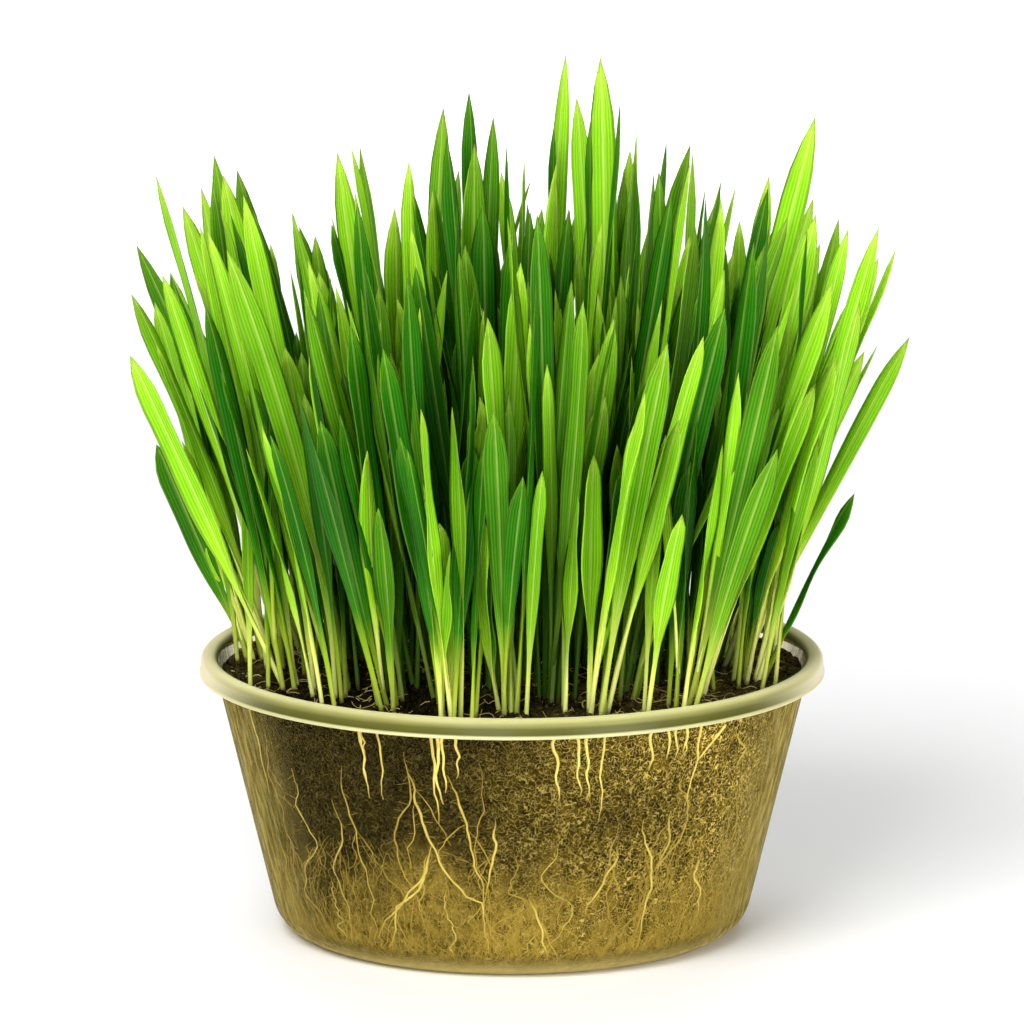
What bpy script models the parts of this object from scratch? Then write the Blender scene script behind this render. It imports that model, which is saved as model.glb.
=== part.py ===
"""Wheatgrass growing in a round clear tub, at its real size.

A thin plastic tub with a rolled rim holds a plug of potting soil. A mat of
pale roots lies between the soil and the tub. The wheat shoots stand in
bunches: each bunch grows from one knot of sprouted kernels, which sits in a
plain hole in the soil. The origin is the middle of the tub's flat underside.
"""

import math
import random

import bmesh
import bpy
from mathutils import Vector, noise
from mathutils.bvhtree import BVHTree

MM = 0.001
GAP = 0.3 * MM  # left between two pieces that touch on the real thing
SEED = 21

# Tub
RIM_RADIUS = 75.0 * MM
TUB_HEIGHT = 67.5 * MM
WALL = 1.0 * MM
FOOT_RADIUS = 55.6 * MM  # where the wall's outer line would meet the table
TAPER = 0.245  # how much the wall's radius grows for each unit of height
CORNER_RADIUS = 9.0 * MM
SKIRT_DROP = 4.8 * MM  # height of the rolled rim
SKIRT_LIP = 0.3 * MM  # how far the rim's lower edge stands out
TUB_SIDES = 48

# Root mat
ROOT_LAYER = 0.8 * MM
MAT_HEIGHT = 9.0 * MM  # how far the mat climbs the wall, on average
MAT_WAVE = 2.4 * MM
MAT_WAVES = ((1.0, 3, 0.7), (0.6, 7, 0.0))  # share of the height, waves round the mat, phase
MAT_SIDES = 36
ROOT_STRANDS = 20
STRAND_HALF_WIDTH = 0.7 * MM
STRAND_TAPER = 0.6  # a strand narrows to this share of its width
STRAND_FOOT = 7.0 * MM  # the strands start at this height, inside the mat
STRAND_TOPS = (30.0 * MM, 60.0 * MM)
STRAND_SWING = 0.07  # how far a strand wanders round the tub, in radians
STRAND_STEPS = 6
BRANCH_RISE = (9.0 * MM, 15.0 * MM)
BRANCH_TURN = (0.07, 0.11)
BRANCH_STEPS = 2
BRANCH_WIDTH = 0.7  # as a share of its strand's

# Soil
SOIL_EDGE_Z = 63.0 * MM
SOIL_MOUND = 3.0 * MM
SOIL_LUMPS = 0.9 * MM
SOIL_LUMP_SCALE = 55.0
SOIL_CRUMB_SCALE = 140.0
SOIL_SIDES = 30
SOIL_RINGS = 4

# Shoots
BUNCHES = 54
FIELD_RADIUS = 63.5 * MM  # the outermost bunches stand this far out
FIELD_JITTER = 1.6 * MM
GOLDEN_ANGLE = math.radians(137.508)
CROWN_RADIUS = 4.0 * MM
CROWN_HEIGHT = 4.0 * MM
CROWN_DEPTH = 1.5 * MM  # the crown's top lies this far under the soil's surface
CROWN_SIDES = 6
CROWN_TAPER = 0.75  # its lower end is this share as wide
HOLE_RADIUS = 5.0 * MM
SHOOT_COUNTS = (4, 4, 5, 5, 5, 5)  # a bunch has one of these numbers of shoots
STEM_RING = 2.0 * MM  # the stems stand on a circle of this radius on the crown
STEM_SINK = 1.2 * MM
STEM_HALF_WIDTH = 0.8 * MM
STEM_THICKNESS = 1.2 * MM
BLADE_HALF_WIDTHS = (2.2 * MM, 3.3 * MM)
BLADE_THICKNESS = 0.9 * MM
BLADE_OPENS = (0.14, 0.60)  # the stem widens into the blade between these shares
POINT_FROM = 0.74  # the blade narrows to its tip from here
POINT_POWER = 1.8
FULL_LENGTH = 110.0 * MM  # a shorter shoot has a narrower blade
HEIGHT_KINDS = (
    (0.60, 101.0 * MM, 128.0 * MM),
    (0.24, 74.0 * MM, 101.0 * MM),
    (0.07, 48.0 * MM, 74.0 * MM),
    (0.09, 128.0 * MM, 147.0 * MM),
)  # share of the shoots, lowest and highest rise over the knot
EDGE_HEIGHT = 0.93  # the outermost shoots are this much of the others' height
LEAN_OUT = (0.24, 0.52)  # outward lean of the outermost bunches
LEAN_APART = 0.13  # most that a bunch's own shoots lean apart
LEAN_SCATTER = 0.045
SWAY = 0.02
BEND_OUT = 0.5  # where the bend stands, as a share of the shoot's lean
BEND_UP = 0.55  # and as a share of its height
TWIST = 0.9
EDGE_FREEDOM = 1.2  # how far the outermost blades may face away from straight out
STATIONS = (0.0, 0.22, 0.46, 0.7, 0.86)  # shares of a shoot's length; its tip is at 1
FAN_REACH = 101.0 * MM  # no tip stands farther from the tub's axis
FAN_TOP = 214.0 * MM  # the highest tips, near the middle
FAN_DROP = 80.0 * MM  # how much lower the outermost tips end
FAN_SHOULDER = 8  # the higher, the flatter the fan's top is before it drops
CLEARANCE = 0.35 * MM
CLEAR_FROM = 0.07  # shoots may touch below this share of their length
NEAR = 75.0 * MM  # shoots whose middles are farther apart can't touch
MOST_TRIES = 60


def smoothstep(x):
    x = min(max(x, 0.0), 1.0)
    return x * x * (3 - 2 * x)


def mix(a, b, share):
    return a + (b - a) * share


def material(name, colour, roughness, alpha=1.0):
    made = bpy.data.materials.new(name)
    made.use_nodes = True
    shader = made.node_tree.nodes["Principled BSDF"]
    shader.inputs["Base Color"].default_value = (*colour, 1.0)
    shader.inputs["Roughness"].default_value = roughness
    shader.inputs["Metallic"].default_value = 0.0
    shader.inputs["Alpha"].default_value = alpha
    return made


def object_of(name, mesh, finish):
    obj = bpy.data.objects.new(name, mesh)
    bpy.context.scene.collection.objects.link(obj)
    mesh.materials.append(finish)
    mesh.shade_smooth()
    mesh.set_sharp_from_angle(angle=math.radians(35))
    return obj


def mesh_of(name, bm):
    bmesh.ops.recalc_face_normals(bm, faces=bm.faces)
    mesh = bpy.data.meshes.new(name)
    bm.to_mesh(mesh)
    bm.free()
    return mesh


def arc(centre, radius, start_deg, end_deg, steps):
    """Points (r, z) along an arc, both ends included."""
    points = []
    for i in range(steps + 1):
        a = math.radians(mix(start_deg, end_deg, i / steps))
        points.append((centre[0] + radius * math.cos(a), centre[1] + radius * math.sin(a)))
    return points


def spun(profile, sides):
    """A bmesh turned from a profile (r, z) that begins and ends on the axis."""
    bm = bmesh.new()
    line = [bm.verts.new((r, 0.0, z)) for r, z in profile]
    edges = [bm.edges.new(pair) for pair in zip(line, line[1:])]
    bmesh.ops.spin(
        bm,
        geom=line + edges,
        cent=(0, 0, 0),
        axis=(0, 0, 1),
        angle=math.tau,
        steps=sides,
        use_merge=True,
    )
    bmesh.ops.remove_doubles(bm, verts=bm.verts, dist=0.01 * MM)
    bmesh.ops.dissolve_degenerate(bm, edges=bm.edges, dist=0.001 * MM)
    return bm


def wall_radius(z, inset=0.0):
    """Radius of the tub's outer wall line at height z, less a thickness."""
    return FOOT_RADIUS + TAPER * z - inset * math.hypot(1.0, TAPER)


def inside_profile(inset, top_z, steps):
    """Axis, floor, corner and wall of a surface that lies inset from the tub's outside."""
    taper_deg = math.degrees(math.atan(TAPER))
    flat = FOOT_RADIUS - CORNER_RADIUS * math.tan(math.radians(90 - taper_deg) / 2)
    corner = arc((flat, CORNER_RADIUS), CORNER_RADIUS - inset, -90, -taper_deg, steps)
    return [(0.0, inset), *corner, (wall_radius(top_z, inset), top_z)]


def make_tub():
    """One moulded piece: floor, round corner, tapering wall and the rim rolled outwards."""
    roll_centre_r = (RIM_RADIUS - SKIRT_LIP + wall_radius(TUB_HEIGHT - 2 * MM, WALL)) / 2
    roll = RIM_RADIUS - SKIRT_LIP - roll_centre_r
    roll_z = TUB_HEIGHT - roll
    skirt_z = TUB_HEIGHT - SKIRT_DROP
    skirt_inner = roll_centre_r + roll - WALL
    outside = inside_profile(0.0, roll_z, 4)
    under_roll = arc((roll_centre_r, roll_z), roll - WALL, 180, 0, 3)
    skirt = [
        (skirt_inner, skirt_z),
        (RIM_RADIUS, skirt_z),
        (RIM_RADIUS, skirt_z + 2 * SKIRT_LIP),
        (RIM_RADIUS - SKIRT_LIP, skirt_z + 3 * SKIRT_LIP),
    ]
    over_roll = arc((roll_centre_r, roll_z), roll, 0, 180, 5)
    inside = inside_profile(WALL, roll_z, 3)
    profile = [*outside[:-1], *under_roll, *skirt, *over_roll, *reversed(inside[:-1])]
    mesh = mesh_of("tub", spun(profile, TUB_SIDES))
    finish = material("clear_plastic", (0.86, 0.84, 0.70), 0.18, alpha=0.35)
    return object_of("tub", mesh, finish)


def soil_height(x, y):
    """The soil's surface: a low mound with lumps."""
    edge = wall_radius(SOIL_EDGE_Z, soil_inset())
    share = min(math.hypot(x, y) / edge, 1.0)
    point = Vector((x, y, 0.0))
    lumps = noise.noise(point * SOIL_LUMP_SCALE) + 0.5 * noise.noise(point * SOIL_CRUMB_SCALE)
    return SOIL_EDGE_Z + SOIL_MOUND * (1 - share * share) + SOIL_LUMPS * lumps * (1 - share**6)


def soil_inset():
    return WALL + GAP + ROOT_LAYER + GAP


def bunch_centres():
    """Where the bunches stand: a sunflower's spiral, loosened a little."""
    rng = random.Random(SEED)
    centres = []
    for k in range(BUNCHES):
        radius = FIELD_RADIUS * math.sqrt((k + 0.6) / (BUNCHES - 0.4))
        angle = k * GOLDEN_ANGLE
        jitter = min(FIELD_JITTER, FIELD_RADIUS - radius)
        x = radius * math.cos(angle) + rng.uniform(-1, 1) * jitter
        y = radius * math.sin(angle) + rng.uniform(-1, 1) * jitter
        centres.append(Vector((x, y, soil_height(x, y) - CROWN_DEPTH)))
    return centres


def prism(bm, centre, radius_top, radius_low, top_z, low_z, sides):
    """Adds a closed upright prism, which may taper."""
    rings = []
    turns = [i * math.tau / sides for i in range(sides)]
    for radius, z in ((radius_low, low_z), (radius_top, top_z)):
        places = [(centre.x + radius * math.cos(a), centre.y + radius * math.sin(a)) for a in turns]
        rings.append([bm.verts.new((x, y, z)) for x, y in places])
    for i in range(sides):
        j = (i + 1) % sides
        bm.faces.new((rings[0][i], rings[0][j], rings[1][j], rings[1][i]))
    bm.faces.new(rings[0][::-1])
    bm.faces.new(rings[1])


def make_soil(centres):
    """The plug of soil, with a plain hole for each bunch."""
    side = inside_profile(soil_inset(), SOIL_EDGE_Z, 3)
    edge = side[-1][0]
    top = [(edge * (SOIL_RINGS - i) / SOIL_RINGS, SOIL_EDGE_Z) for i in range(1, SOIL_RINGS + 1)]
    bm = spun([*side, *top], SOIL_SIDES)
    for vert in bm.verts:
        if vert.co.z > SOIL_EDGE_Z - 0.01 * MM:
            vert.co.z = soil_height(vert.co.x, vert.co.y)
    finish = material("potting_soil", (0.075, 0.045, 0.018), 0.95)
    soil = object_of("soil", mesh_of("soil", bm), finish)

    holes = bmesh.new()
    above = SOIL_EDGE_Z + 3 * SOIL_MOUND
    for centre in centres:
        low = centre.z - CROWN_HEIGHT - GAP
        prism(holes, centre, HOLE_RADIUS, HOLE_RADIUS, above, low, CROWN_SIDES)
    cutter = bpy.data.objects.new("soil_holes", mesh_of("soil_holes", holes))
    bpy.context.scene.collection.objects.link(cutter)
    cutter.hide_render = True
    cutter.display_type = "WIRE"
    cut = soil.modifiers.new("holes", "BOOLEAN")
    cut.operation = "DIFFERENCE"
    cut.object = cutter
    return soil


def tube_mesh(name, points, half_width, outward):
    """A closed three-sided strand with its flat side outwards, pointed at its far end."""
    bm = bmesh.new()
    rings = []
    for i, point in enumerate(points[:-1]):
        along = (points[i + 1] - point).normalized()
        out = outward(point)
        side = along.cross(out).normalized() * half_width * mix(1.0, STRAND_TAPER, i / len(points))
        deep = out * (ROOT_LAYER / 2)
        corners = (point + side + deep, point - side + deep, point - deep)
        rings.append([bm.verts.new(corner) for corner in corners])
    tip = bm.verts.new(points[-1])
    for low, high in zip(rings, rings[1:]):
        for a, b in ((0, 1), (1, 2), (2, 0)):
            bm.faces.new((low[a], low[b], high[b], high[a]))
    for a, b in ((0, 1), (1, 2), (2, 0)):
        bm.faces.new((rings[-1][a], rings[-1][b], tip))
    bm.faces.new(rings[0][::-1])
    return mesh_of(name, bm)


def union(base, collection):
    """Joins a collection's objects to base by one Boolean, applies it and removes them."""
    join = base.modifiers.new("join", "BOOLEAN")
    join.operation = "UNION"
    join.operand_type = "COLLECTION"
    join.collection = collection
    bpy.context.view_layer.update()
    graph = bpy.context.evaluated_depsgraph_get()
    joined = bpy.data.meshes.new_from_object(base.evaluated_get(graph))
    base.modifiers.clear()
    old = base.data
    base.data = joined
    bpy.data.meshes.remove(old)
    for obj in list(collection.objects):
        bpy.data.objects.remove(obj)
    bpy.data.collections.remove(collection)


def layer_radius(z):
    """Middle of the root layer, measured from the tub's axis."""
    inset = WALL + GAP + ROOT_LAYER / 2
    if z >= CORNER_RADIUS:
        return wall_radius(z, inset)
    corner = inside_profile(inset, CORNER_RADIUS, 1)[1][0]
    drop = (CORNER_RADIUS - z) / (CORNER_RADIUS - inset)
    return corner + (CORNER_RADIUS - inset) * math.sqrt(max(1 - drop * drop, 0.0))


def layer_point(angle, z):
    radius = layer_radius(z)
    return Vector((radius * math.cos(angle), radius * math.sin(angle), z))


def layer_outward(point):
    """The direction square to the wall, from the root layer towards the tub."""
    flat = Vector((point.x, point.y, 0.0)).normalized()
    return Vector((flat.x, flat.y, -TAPER)).normalized()


def strand_points(rng, angle, low, high, steps, swing):
    """A root's way up the wall, wandering to both sides."""
    phase = rng.uniform(0, math.tau)
    points = []
    for i in range(steps + 1):
        share = i / steps
        wander = swing * (math.sin(phase + 5.0 * share) - math.sin(phase)) * share**0.5
        points.append(layer_point(angle + wander, mix(low, high, share)))
    return points


def make_root_mat():
    """A dish of knitted roots under the soil, with strands that climb the wall."""
    inset = WALL + GAP
    outer = inside_profile(inset, MAT_HEIGHT, 3)
    inner = inside_profile(inset + ROOT_LAYER, MAT_HEIGHT, 3)
    bm = spun([*outer, *reversed(inner)], MAT_SIDES)
    for vert in bm.verts:
        if vert.co.z > MAT_HEIGHT - 0.01 * MM:
            angle = math.atan2(vert.co.y, vert.co.x)
            lift = MAT_WAVE * sum(s * math.sin(n * angle + phase) for s, n, phase in MAT_WAVES)
            slope = Vector((vert.co.x, vert.co.y, 0.0)).normalized() * TAPER
            vert.co += (slope + Vector((0, 0, 1))) * (lift + MAT_WAVE)
    finish = material("roots", (0.62, 0.47, 0.20), 0.8)
    mat = object_of("root_mat", mesh_of("root_mat", bm), finish)

    rng = random.Random(SEED + 1)
    strands = bpy.data.collections.new("root_strands")
    bpy.context.scene.collection.children.link(strands)
    for k in range(ROOT_STRANDS):
        angle = (k + rng.uniform(-0.3, 0.3)) * math.tau / ROOT_STRANDS
        top = rng.uniform(*STRAND_TOPS)
        points = strand_points(rng, angle, STRAND_FOOT, top, STRAND_STEPS, STRAND_SWING)
        mesh = tube_mesh("strand", points, STRAND_HALF_WIDTH, layer_outward)
        strands.objects.link(bpy.data.objects.new("strand", mesh))
        fork = points[rng.randint(2, 3)]
        reach = fork.z + rng.uniform(*BRANCH_RISE)
        turn = rng.choice((-1, 1)) * rng.uniform(*BRANCH_TURN)
        start = math.atan2(fork.y, fork.x)
        branch = [
            layer_point(start + turn * i / BRANCH_STEPS, mix(fork.z, reach, i / BRANCH_STEPS))
            for i in range(BRANCH_STEPS + 1)
        ]
        mesh = tube_mesh("branch", branch, STRAND_HALF_WIDTH * BRANCH_WIDTH, layer_outward)
        strands.objects.link(bpy.data.objects.new("branch", mesh))
    union(mat, strands)
    return mat


class Shoot:
    """One wheat shoot: a stem that widens into a pointed blade along a bent line."""

    def __init__(self, rng, crown, share_out, place):
        outward = Vector((crown.x, crown.y, 0.0)).normalized()
        stem_at = Vector((math.cos(place), math.sin(place), 0.0))
        self.base = crown + stem_at * STEM_RING - Vector((0, 0, STEM_SINK))
        rise = self.draw_rise(rng, share_out)
        lean = outward * (share_out**1.4 * rng.uniform(*LEAN_OUT))
        lean += stem_at * rng.uniform(0.0, LEAN_APART)
        lean += Vector((rng.gauss(0, LEAN_SCATTER), rng.gauss(0, LEAN_SCATTER), 0.0))
        self.tip = self.base + lean * rise + Vector((0, 0, rise))
        sway = Vector((rng.gauss(0, 1), rng.gauss(0, 1), 0.0)) * SWAY * rise
        self.bend = self.base + sway + (lean * BEND_OUT + Vector((0, 0, BEND_UP))) * rise
        self.widest = rng.uniform(*BLADE_HALF_WIDTHS) * mix(0.85, 1.0, min(rise / FULL_LENGTH, 1.0))
        freedom = mix(math.pi, EDGE_FREEDOM, share_out)
        self.facing = math.atan2(outward.y, outward.x) + rng.uniform(-freedom, freedom)
        self.twist = rng.uniform(-TWIST, TWIST)

    @staticmethod
    def draw_rise(rng, share_out):
        """Height of the tip over the crown: most are full grown, some are still short."""
        shares = [kind[0] for kind in HEIGHT_KINDS]
        _, low, high = rng.choices(HEIGHT_KINDS, weights=shares)[0]
        return rng.uniform(low, high) * mix(1.0, EDGE_HEIGHT, share_out**4)

    def in_fan(self):
        reach = math.hypot(self.tip.x, self.tip.y) / FAN_REACH
        return reach < 1 and self.tip.z < FAN_TOP - FAN_DROP * reach**FAN_SHOULDER

    def at(self, t):
        return self.base * (1 - t) ** 2 + self.bend * 2 * t * (1 - t) + self.tip * t * t

    def along(self, t):
        return ((self.bend - self.base) * (1 - t) + (self.tip - self.bend) * t).normalized()

    def half_width(self, t):
        """Narrow stem, widest blade over the upper third, then a point."""
        opens, opened = BLADE_OPENS
        grown = mix(STEM_HALF_WIDTH, self.widest, smoothstep((t - opens) / (opened - opens)))
        return grown * (1 - (max(t - POINT_FROM, 0.0) / (1 - POINT_FROM)) ** POINT_POWER)

    def ring(self, t, extra=0.0):
        """Left edge, right edge and keel of the blade's section at t."""
        turn = self.facing + self.twist * t
        face = Vector((math.cos(turn), math.sin(turn), 0.0))
        along = self.along(t)
        across = along.cross(face).normalized()
        face = across.cross(along)
        side = across * (self.half_width(t) + extra)
        keel = mix(STEM_THICKNESS, BLADE_THICKNESS, smoothstep(t / 0.4))
        front = face * (keel / 2 + extra)
        return (self.at(t) + side + front, self.at(t) - side + front, self.at(t) - front)

    def surface(self, stations, extra=0.0):
        """Points and faces of the closed shoot."""
        points = [corner for t in stations for corner in self.ring(t, extra)]
        points.append(self.tip)
        faces = [(2, 1, 0)]
        last = 3 * (len(stations) - 1)
        for start in range(0, last, 3):
            for a, b in ((0, 1), (1, 2), (2, 0)):
                faces.append((start + a, start + b, start + 3 + b, start + 3 + a))
        faces += [(last + a, last + b, len(points) - 1) for a, b in ((0, 1), (1, 2), (2, 0))]
        return points, faces


class Stand:
    """The shoots that stand already, so that a new one can be kept clear of them."""

    def __init__(self, tub):
        bm = bmesh.new()
        bm.from_mesh(tub.data)
        self.tub = BVHTree.FromBMesh(bm)
        bm.free()
        self.standing = []

    def tries(self, shoot):
        """True if the shoot is clear of the tub and of every other shoot, and then keeps it."""
        above = (CLEAR_FROM, *STATIONS[1:])
        tree = BVHTree.FromPolygons(*shoot.surface(above, CLEARANCE))
        if tree.overlap(self.tub):
            return False
        for other, other_tree in self.standing:
            near = (other.at(0.5) - shoot.at(0.5)).length < NEAR
            if near and tree.overlap(other_tree):
                return False
        self.standing.append((shoot, BVHTree.FromPolygons(*shoot.surface(above))))
        return True


def make_bunch(number, crown, stand, finish):
    """One knot of sprouted kernels with its shoots, joined as one body."""
    rng = random.Random(SEED * 1000 + number)
    share_out = math.hypot(crown.x, crown.y) / FIELD_RADIUS
    bm = bmesh.new()
    low_z = crown.z - CROWN_HEIGHT
    prism(bm, crown, CROWN_RADIUS, CROWN_RADIUS * CROWN_TAPER, crown.z, low_z, CROWN_SIDES)
    name = f"shoots_{number:02d}"
    knot = object_of(name, mesh_of(name, bm), finish)

    blades = bpy.data.collections.new(name + "_blades")
    bpy.context.scene.collection.children.link(blades)
    count = rng.choice(SHOOT_COUNTS)
    first = rng.uniform(0, math.tau)
    for i in range(count):
        place = first + i * math.tau / count
        for _ in range(MOST_TRIES):
            shoot = Shoot(rng, crown, share_out, place)
            if shoot.in_fan() and stand.tries(shoot):
                points, faces = shoot.surface(STATIONS)
                mesh = bpy.data.meshes.new("shoot")
                mesh.from_pydata(points, [], faces)
                blades.objects.link(bpy.data.objects.new("shoot", mesh))
                break
    union(knot, blades)
    knot.data.set_sharp_from_angle(angle=math.radians(50))
    return knot


def main():
    for obj in list(bpy.data.objects):
        bpy.data.objects.remove(obj)
    tub = make_tub()
    make_root_mat()
    centres = bunch_centres()
    make_soil(centres)
    green = material("wheat_leaf", (0.10, 0.29, 0.03), 0.42)
    stand = Stand(tub)
    for number, crown in enumerate(centres, start=1):
        make_bunch(number, crown, stand, green)
    print(len(stand.standing), "shoots in", BUNCHES, "bunches")


main()
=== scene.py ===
# %% [markdown]
# Wheatgrass in a clear tub
#
# This lesson dresses a plain solid model of a pot of wheatgrass. The solids give every size
# and place: a thin round tub, a plug of soil, a mat of roots and 54 bunches of shoots. Each
# step below swaps one of them for a finer piece that keeps its form, or adds small things
# that grow in or on it. We begin by loading the solids and noting the box that they fill.

# %% Load the solids
import math
import random
from functools import partialmethod

import bmesh
import bpy
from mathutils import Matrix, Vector, noise


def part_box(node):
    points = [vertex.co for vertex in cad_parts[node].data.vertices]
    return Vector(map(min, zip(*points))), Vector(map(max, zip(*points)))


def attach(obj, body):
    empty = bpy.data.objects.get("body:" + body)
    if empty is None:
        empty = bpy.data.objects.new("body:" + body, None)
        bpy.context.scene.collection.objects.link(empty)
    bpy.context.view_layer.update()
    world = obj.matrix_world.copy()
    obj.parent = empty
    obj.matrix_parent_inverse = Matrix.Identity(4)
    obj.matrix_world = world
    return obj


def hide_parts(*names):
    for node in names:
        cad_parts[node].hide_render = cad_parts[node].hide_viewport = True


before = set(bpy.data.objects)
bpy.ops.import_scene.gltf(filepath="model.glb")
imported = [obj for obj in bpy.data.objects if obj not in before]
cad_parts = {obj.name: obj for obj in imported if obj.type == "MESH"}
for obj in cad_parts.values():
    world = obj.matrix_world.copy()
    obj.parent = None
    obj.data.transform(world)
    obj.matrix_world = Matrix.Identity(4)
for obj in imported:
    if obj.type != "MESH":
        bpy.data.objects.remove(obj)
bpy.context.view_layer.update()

MM = 0.001
_, tub_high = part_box("tub")
RIM_RADIUS = tub_high.x
TUB_HEIGHT = tub_high.z
BUNCH_NAMES = sorted(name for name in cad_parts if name.startswith("shoots_"))
print("tub", round(RIM_RADIUS / MM, 1), "mm to the rim,", len(BUNCH_NAMES), "bunches of shoots")

# %% [markdown]
# Every curved wall in this pot follows the tub, so the tub's section is worth one function.
# Its outer line is a straight taper with a round corner at the foot. A surface that lies
# some way inside the tub, such as the soil or the roots, follows the same line, only inset.

# %% The tub's section
WALL = 1.0 * MM
FOOT_RADIUS = 55.6 * MM
TAPER = 0.245
CORNER_RADIUS = 9.0 * MM
TAPER_ANGLE = math.atan(TAPER)
FLAT_RADIUS = FOOT_RADIUS - CORNER_RADIUS * math.tan((math.pi / 2 - TAPER_ANGLE) / 2)


def mix(a, b, share):
    return a + (b - a) * share


def shares(steps):
    """From 0 to 1 in even steps."""
    return [i / steps for i in range(steps + 1)]


def wall_radius(z, inset):
    """How far from the axis the tub's outer line is at height z, less an inset."""
    tangent_z = CORNER_RADIUS - (CORNER_RADIUS - inset) * math.sin(TAPER_ANGLE)
    if z > tangent_z:
        return FOOT_RADIUS + TAPER * z - inset * math.hypot(1, TAPER)
    drop = min((CORNER_RADIUS - z) / (CORNER_RADIUS - inset), 1.0)
    return FLAT_RADIUS + (CORNER_RADIUS - inset) * math.sqrt(1 - drop * drop)


def arc(centre, radius, start_deg, end_deg, steps):
    turns = [math.radians(mix(start_deg, end_deg, share)) for share in shares(steps)]
    return [(centre[0] + radius * math.cos(a), centre[1] + radius * math.sin(a)) for a in turns]


def inset_profile(inset, top_z, steps):
    """Floor, corner and wall of a surface inset from the tub's outside, from the axis out."""
    centre = (FLAT_RADIUS, CORNER_RADIUS)
    corner = arc(centre, CORNER_RADIUS - inset, -90, -math.degrees(TAPER_ANGLE), steps)
    return [(0.0, inset), *corner, (wall_radius(top_z, inset), top_z)]


print("flat foot", round(FLAT_RADIUS / MM, 1), "mm, inside the rim",
      round(wall_radius(TUB_HEIGHT, WALL) / MM, 1), "mm")

# %% [markdown]
# A node tree can be drawn by hand in Blender, or written down as code. Written down, its
# arithmetic soon hides what it means, so a small class lets us write formulas: a Field stands
# for the value that a node gives, and a sign between two fields adds the node that works the
# result out. Geometry and materials use the same class.

# %% Formulas made of nodes
class Field:
    """A value that a node gives. Signs between fields add nodes to its tree."""

    def __init__(self, socket):
        self.socket, self.tree = socket, socket.id_data

    def calc(self, operation, *others):
        feeds = dict(enumerate((self, *others)))
        return add(self.tree, "ShaderNodeMath", feeds, operation=operation)

    def vector_calc(self, operation, *others, out=0):
        feeds = dict(enumerate((self, *others)))
        return add(self.tree, "ShaderNodeVectorMath", feeds, out, operation=operation)

    __add__ = partialmethod(calc, "ADD")
    __sub__ = partialmethod(calc, "SUBTRACT")
    __mul__ = partialmethod(calc, "MULTIPLY")
    __truediv__ = partialmethod(calc, "DIVIDE")
    __pow__ = partialmethod(calc, "POWER")
    __abs__ = partialmethod(calc, "ABSOLUTE")
    at_least = partialmethod(calc, "MAXIMUM")
    sine = partialmethod(calc, "SINE")
    plus = partialmethod(vector_calc, "ADD")
    cross = partialmethod(vector_calc, "CROSS_PRODUCT")
    unit = partialmethod(vector_calc, "NORMALIZE")
    length = partialmethod(vector_calc, "LENGTH", out="Value")
    distance = partialmethod(vector_calc, "DISTANCE", out="Value")

    def __rsub__(self, other):
        return self * -1.0 + other

    def scaled(self, by):
        return add(self.tree, "ShaderNodeVectorMath", {0: self, "Scale": by}, operation="SCALE")

    def part(self, axis):
        return add(self.tree, "ShaderNodeSeparateXYZ", {0: self}, axis)

    def ease(self, start, end, low=0.0, high=1.0):
        """A smooth step from low to high while this value goes from start to end."""
        feeds = {"Value": self, "From Min": start, "From Max": end, "To Min": low, "To Max": high}
        return add(self.tree, "ShaderNodeMapRange", feeds, interpolation_type="SMOOTHSTEP")


def feed(node, feeds):
    """Feeds a node's inputs, each from a field or a plain value."""
    for key, value in feeds.items():
        if isinstance(value, Field):
            value.tree.links.new(value.socket, node.inputs[key])
        else:
            node.inputs[key].default_value = value


def add(tree, kind, feeds=None, out=0, **options):
    """Adds a node, sets its options, feeds its inputs and gives one of its outputs."""
    node = tree.nodes.new(kind)
    for option, value in options.items():
        setattr(node, option, value)
    feed(node, feeds or {})
    return Field(node.outputs[out])


# %% [markdown]
# Geometry Nodes will make the blades, the roots and the crumbs. Each tree starts with a named
# input for each size, so that one tree can make thick and thin things. It ends the same way
# every time: plain geometry, smooth shading and a material.

# %% Helpers that write geometry trees
SOCKETS = {int: "NodeSocketInt", float: "NodeSocketFloat"}


def new_tree(name, **sizes):
    """A tree with a named input for each size. Gives it and its inputs as fields."""
    tree = bpy.data.node_groups.new(name, "GeometryNodeTree")
    tree.interface.new_socket("Geometry", in_out="INPUT", socket_type="NodeSocketGeometry")
    tree.interface.new_socket("Geometry", in_out="OUTPUT", socket_type="NodeSocketGeometry")
    for label, value in sizes.items():
        kind = SOCKETS[type(value)]
        socket = tree.interface.new_socket(label, in_out="INPUT", socket_type=kind)
        socket.default_value = value
    given = tree.nodes.new("NodeGroupInput").outputs
    return tree, {label: Field(given[label]) for label in ("Geometry", *sizes)}


def named(tree, name, kind="FLOAT"):
    return add(tree, "GeometryNodeInputNamedAttribute", {"Name": name}, "Attribute", data_type=kind)


def capture(tree, geometry, **fields):
    """Holds fields as they are at this step. Gives the geometry and the held fields."""
    node = tree.nodes.new("GeometryNodeCaptureAttribute")
    feed(node, {"Geometry": geometry})
    for label, field in fields.items():
        node.capture_items.new("VECTOR" if field.socket.type == "VECTOR" else "FLOAT", label)
        feed(node, {label: field})
    return Field(node.outputs["Geometry"]), {label: Field(node.outputs[label]) for label in fields}


def store(tree, geometry, **fields):
    for label, field in fields.items():
        feeds = {"Geometry": geometry, "Name": label, "Value": field}
        geometry = add(
            tree, "GeometryNodeStoreNamedAttribute", feeds, data_type="FLOAT", domain="POINT"
        )
    return geometry


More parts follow.
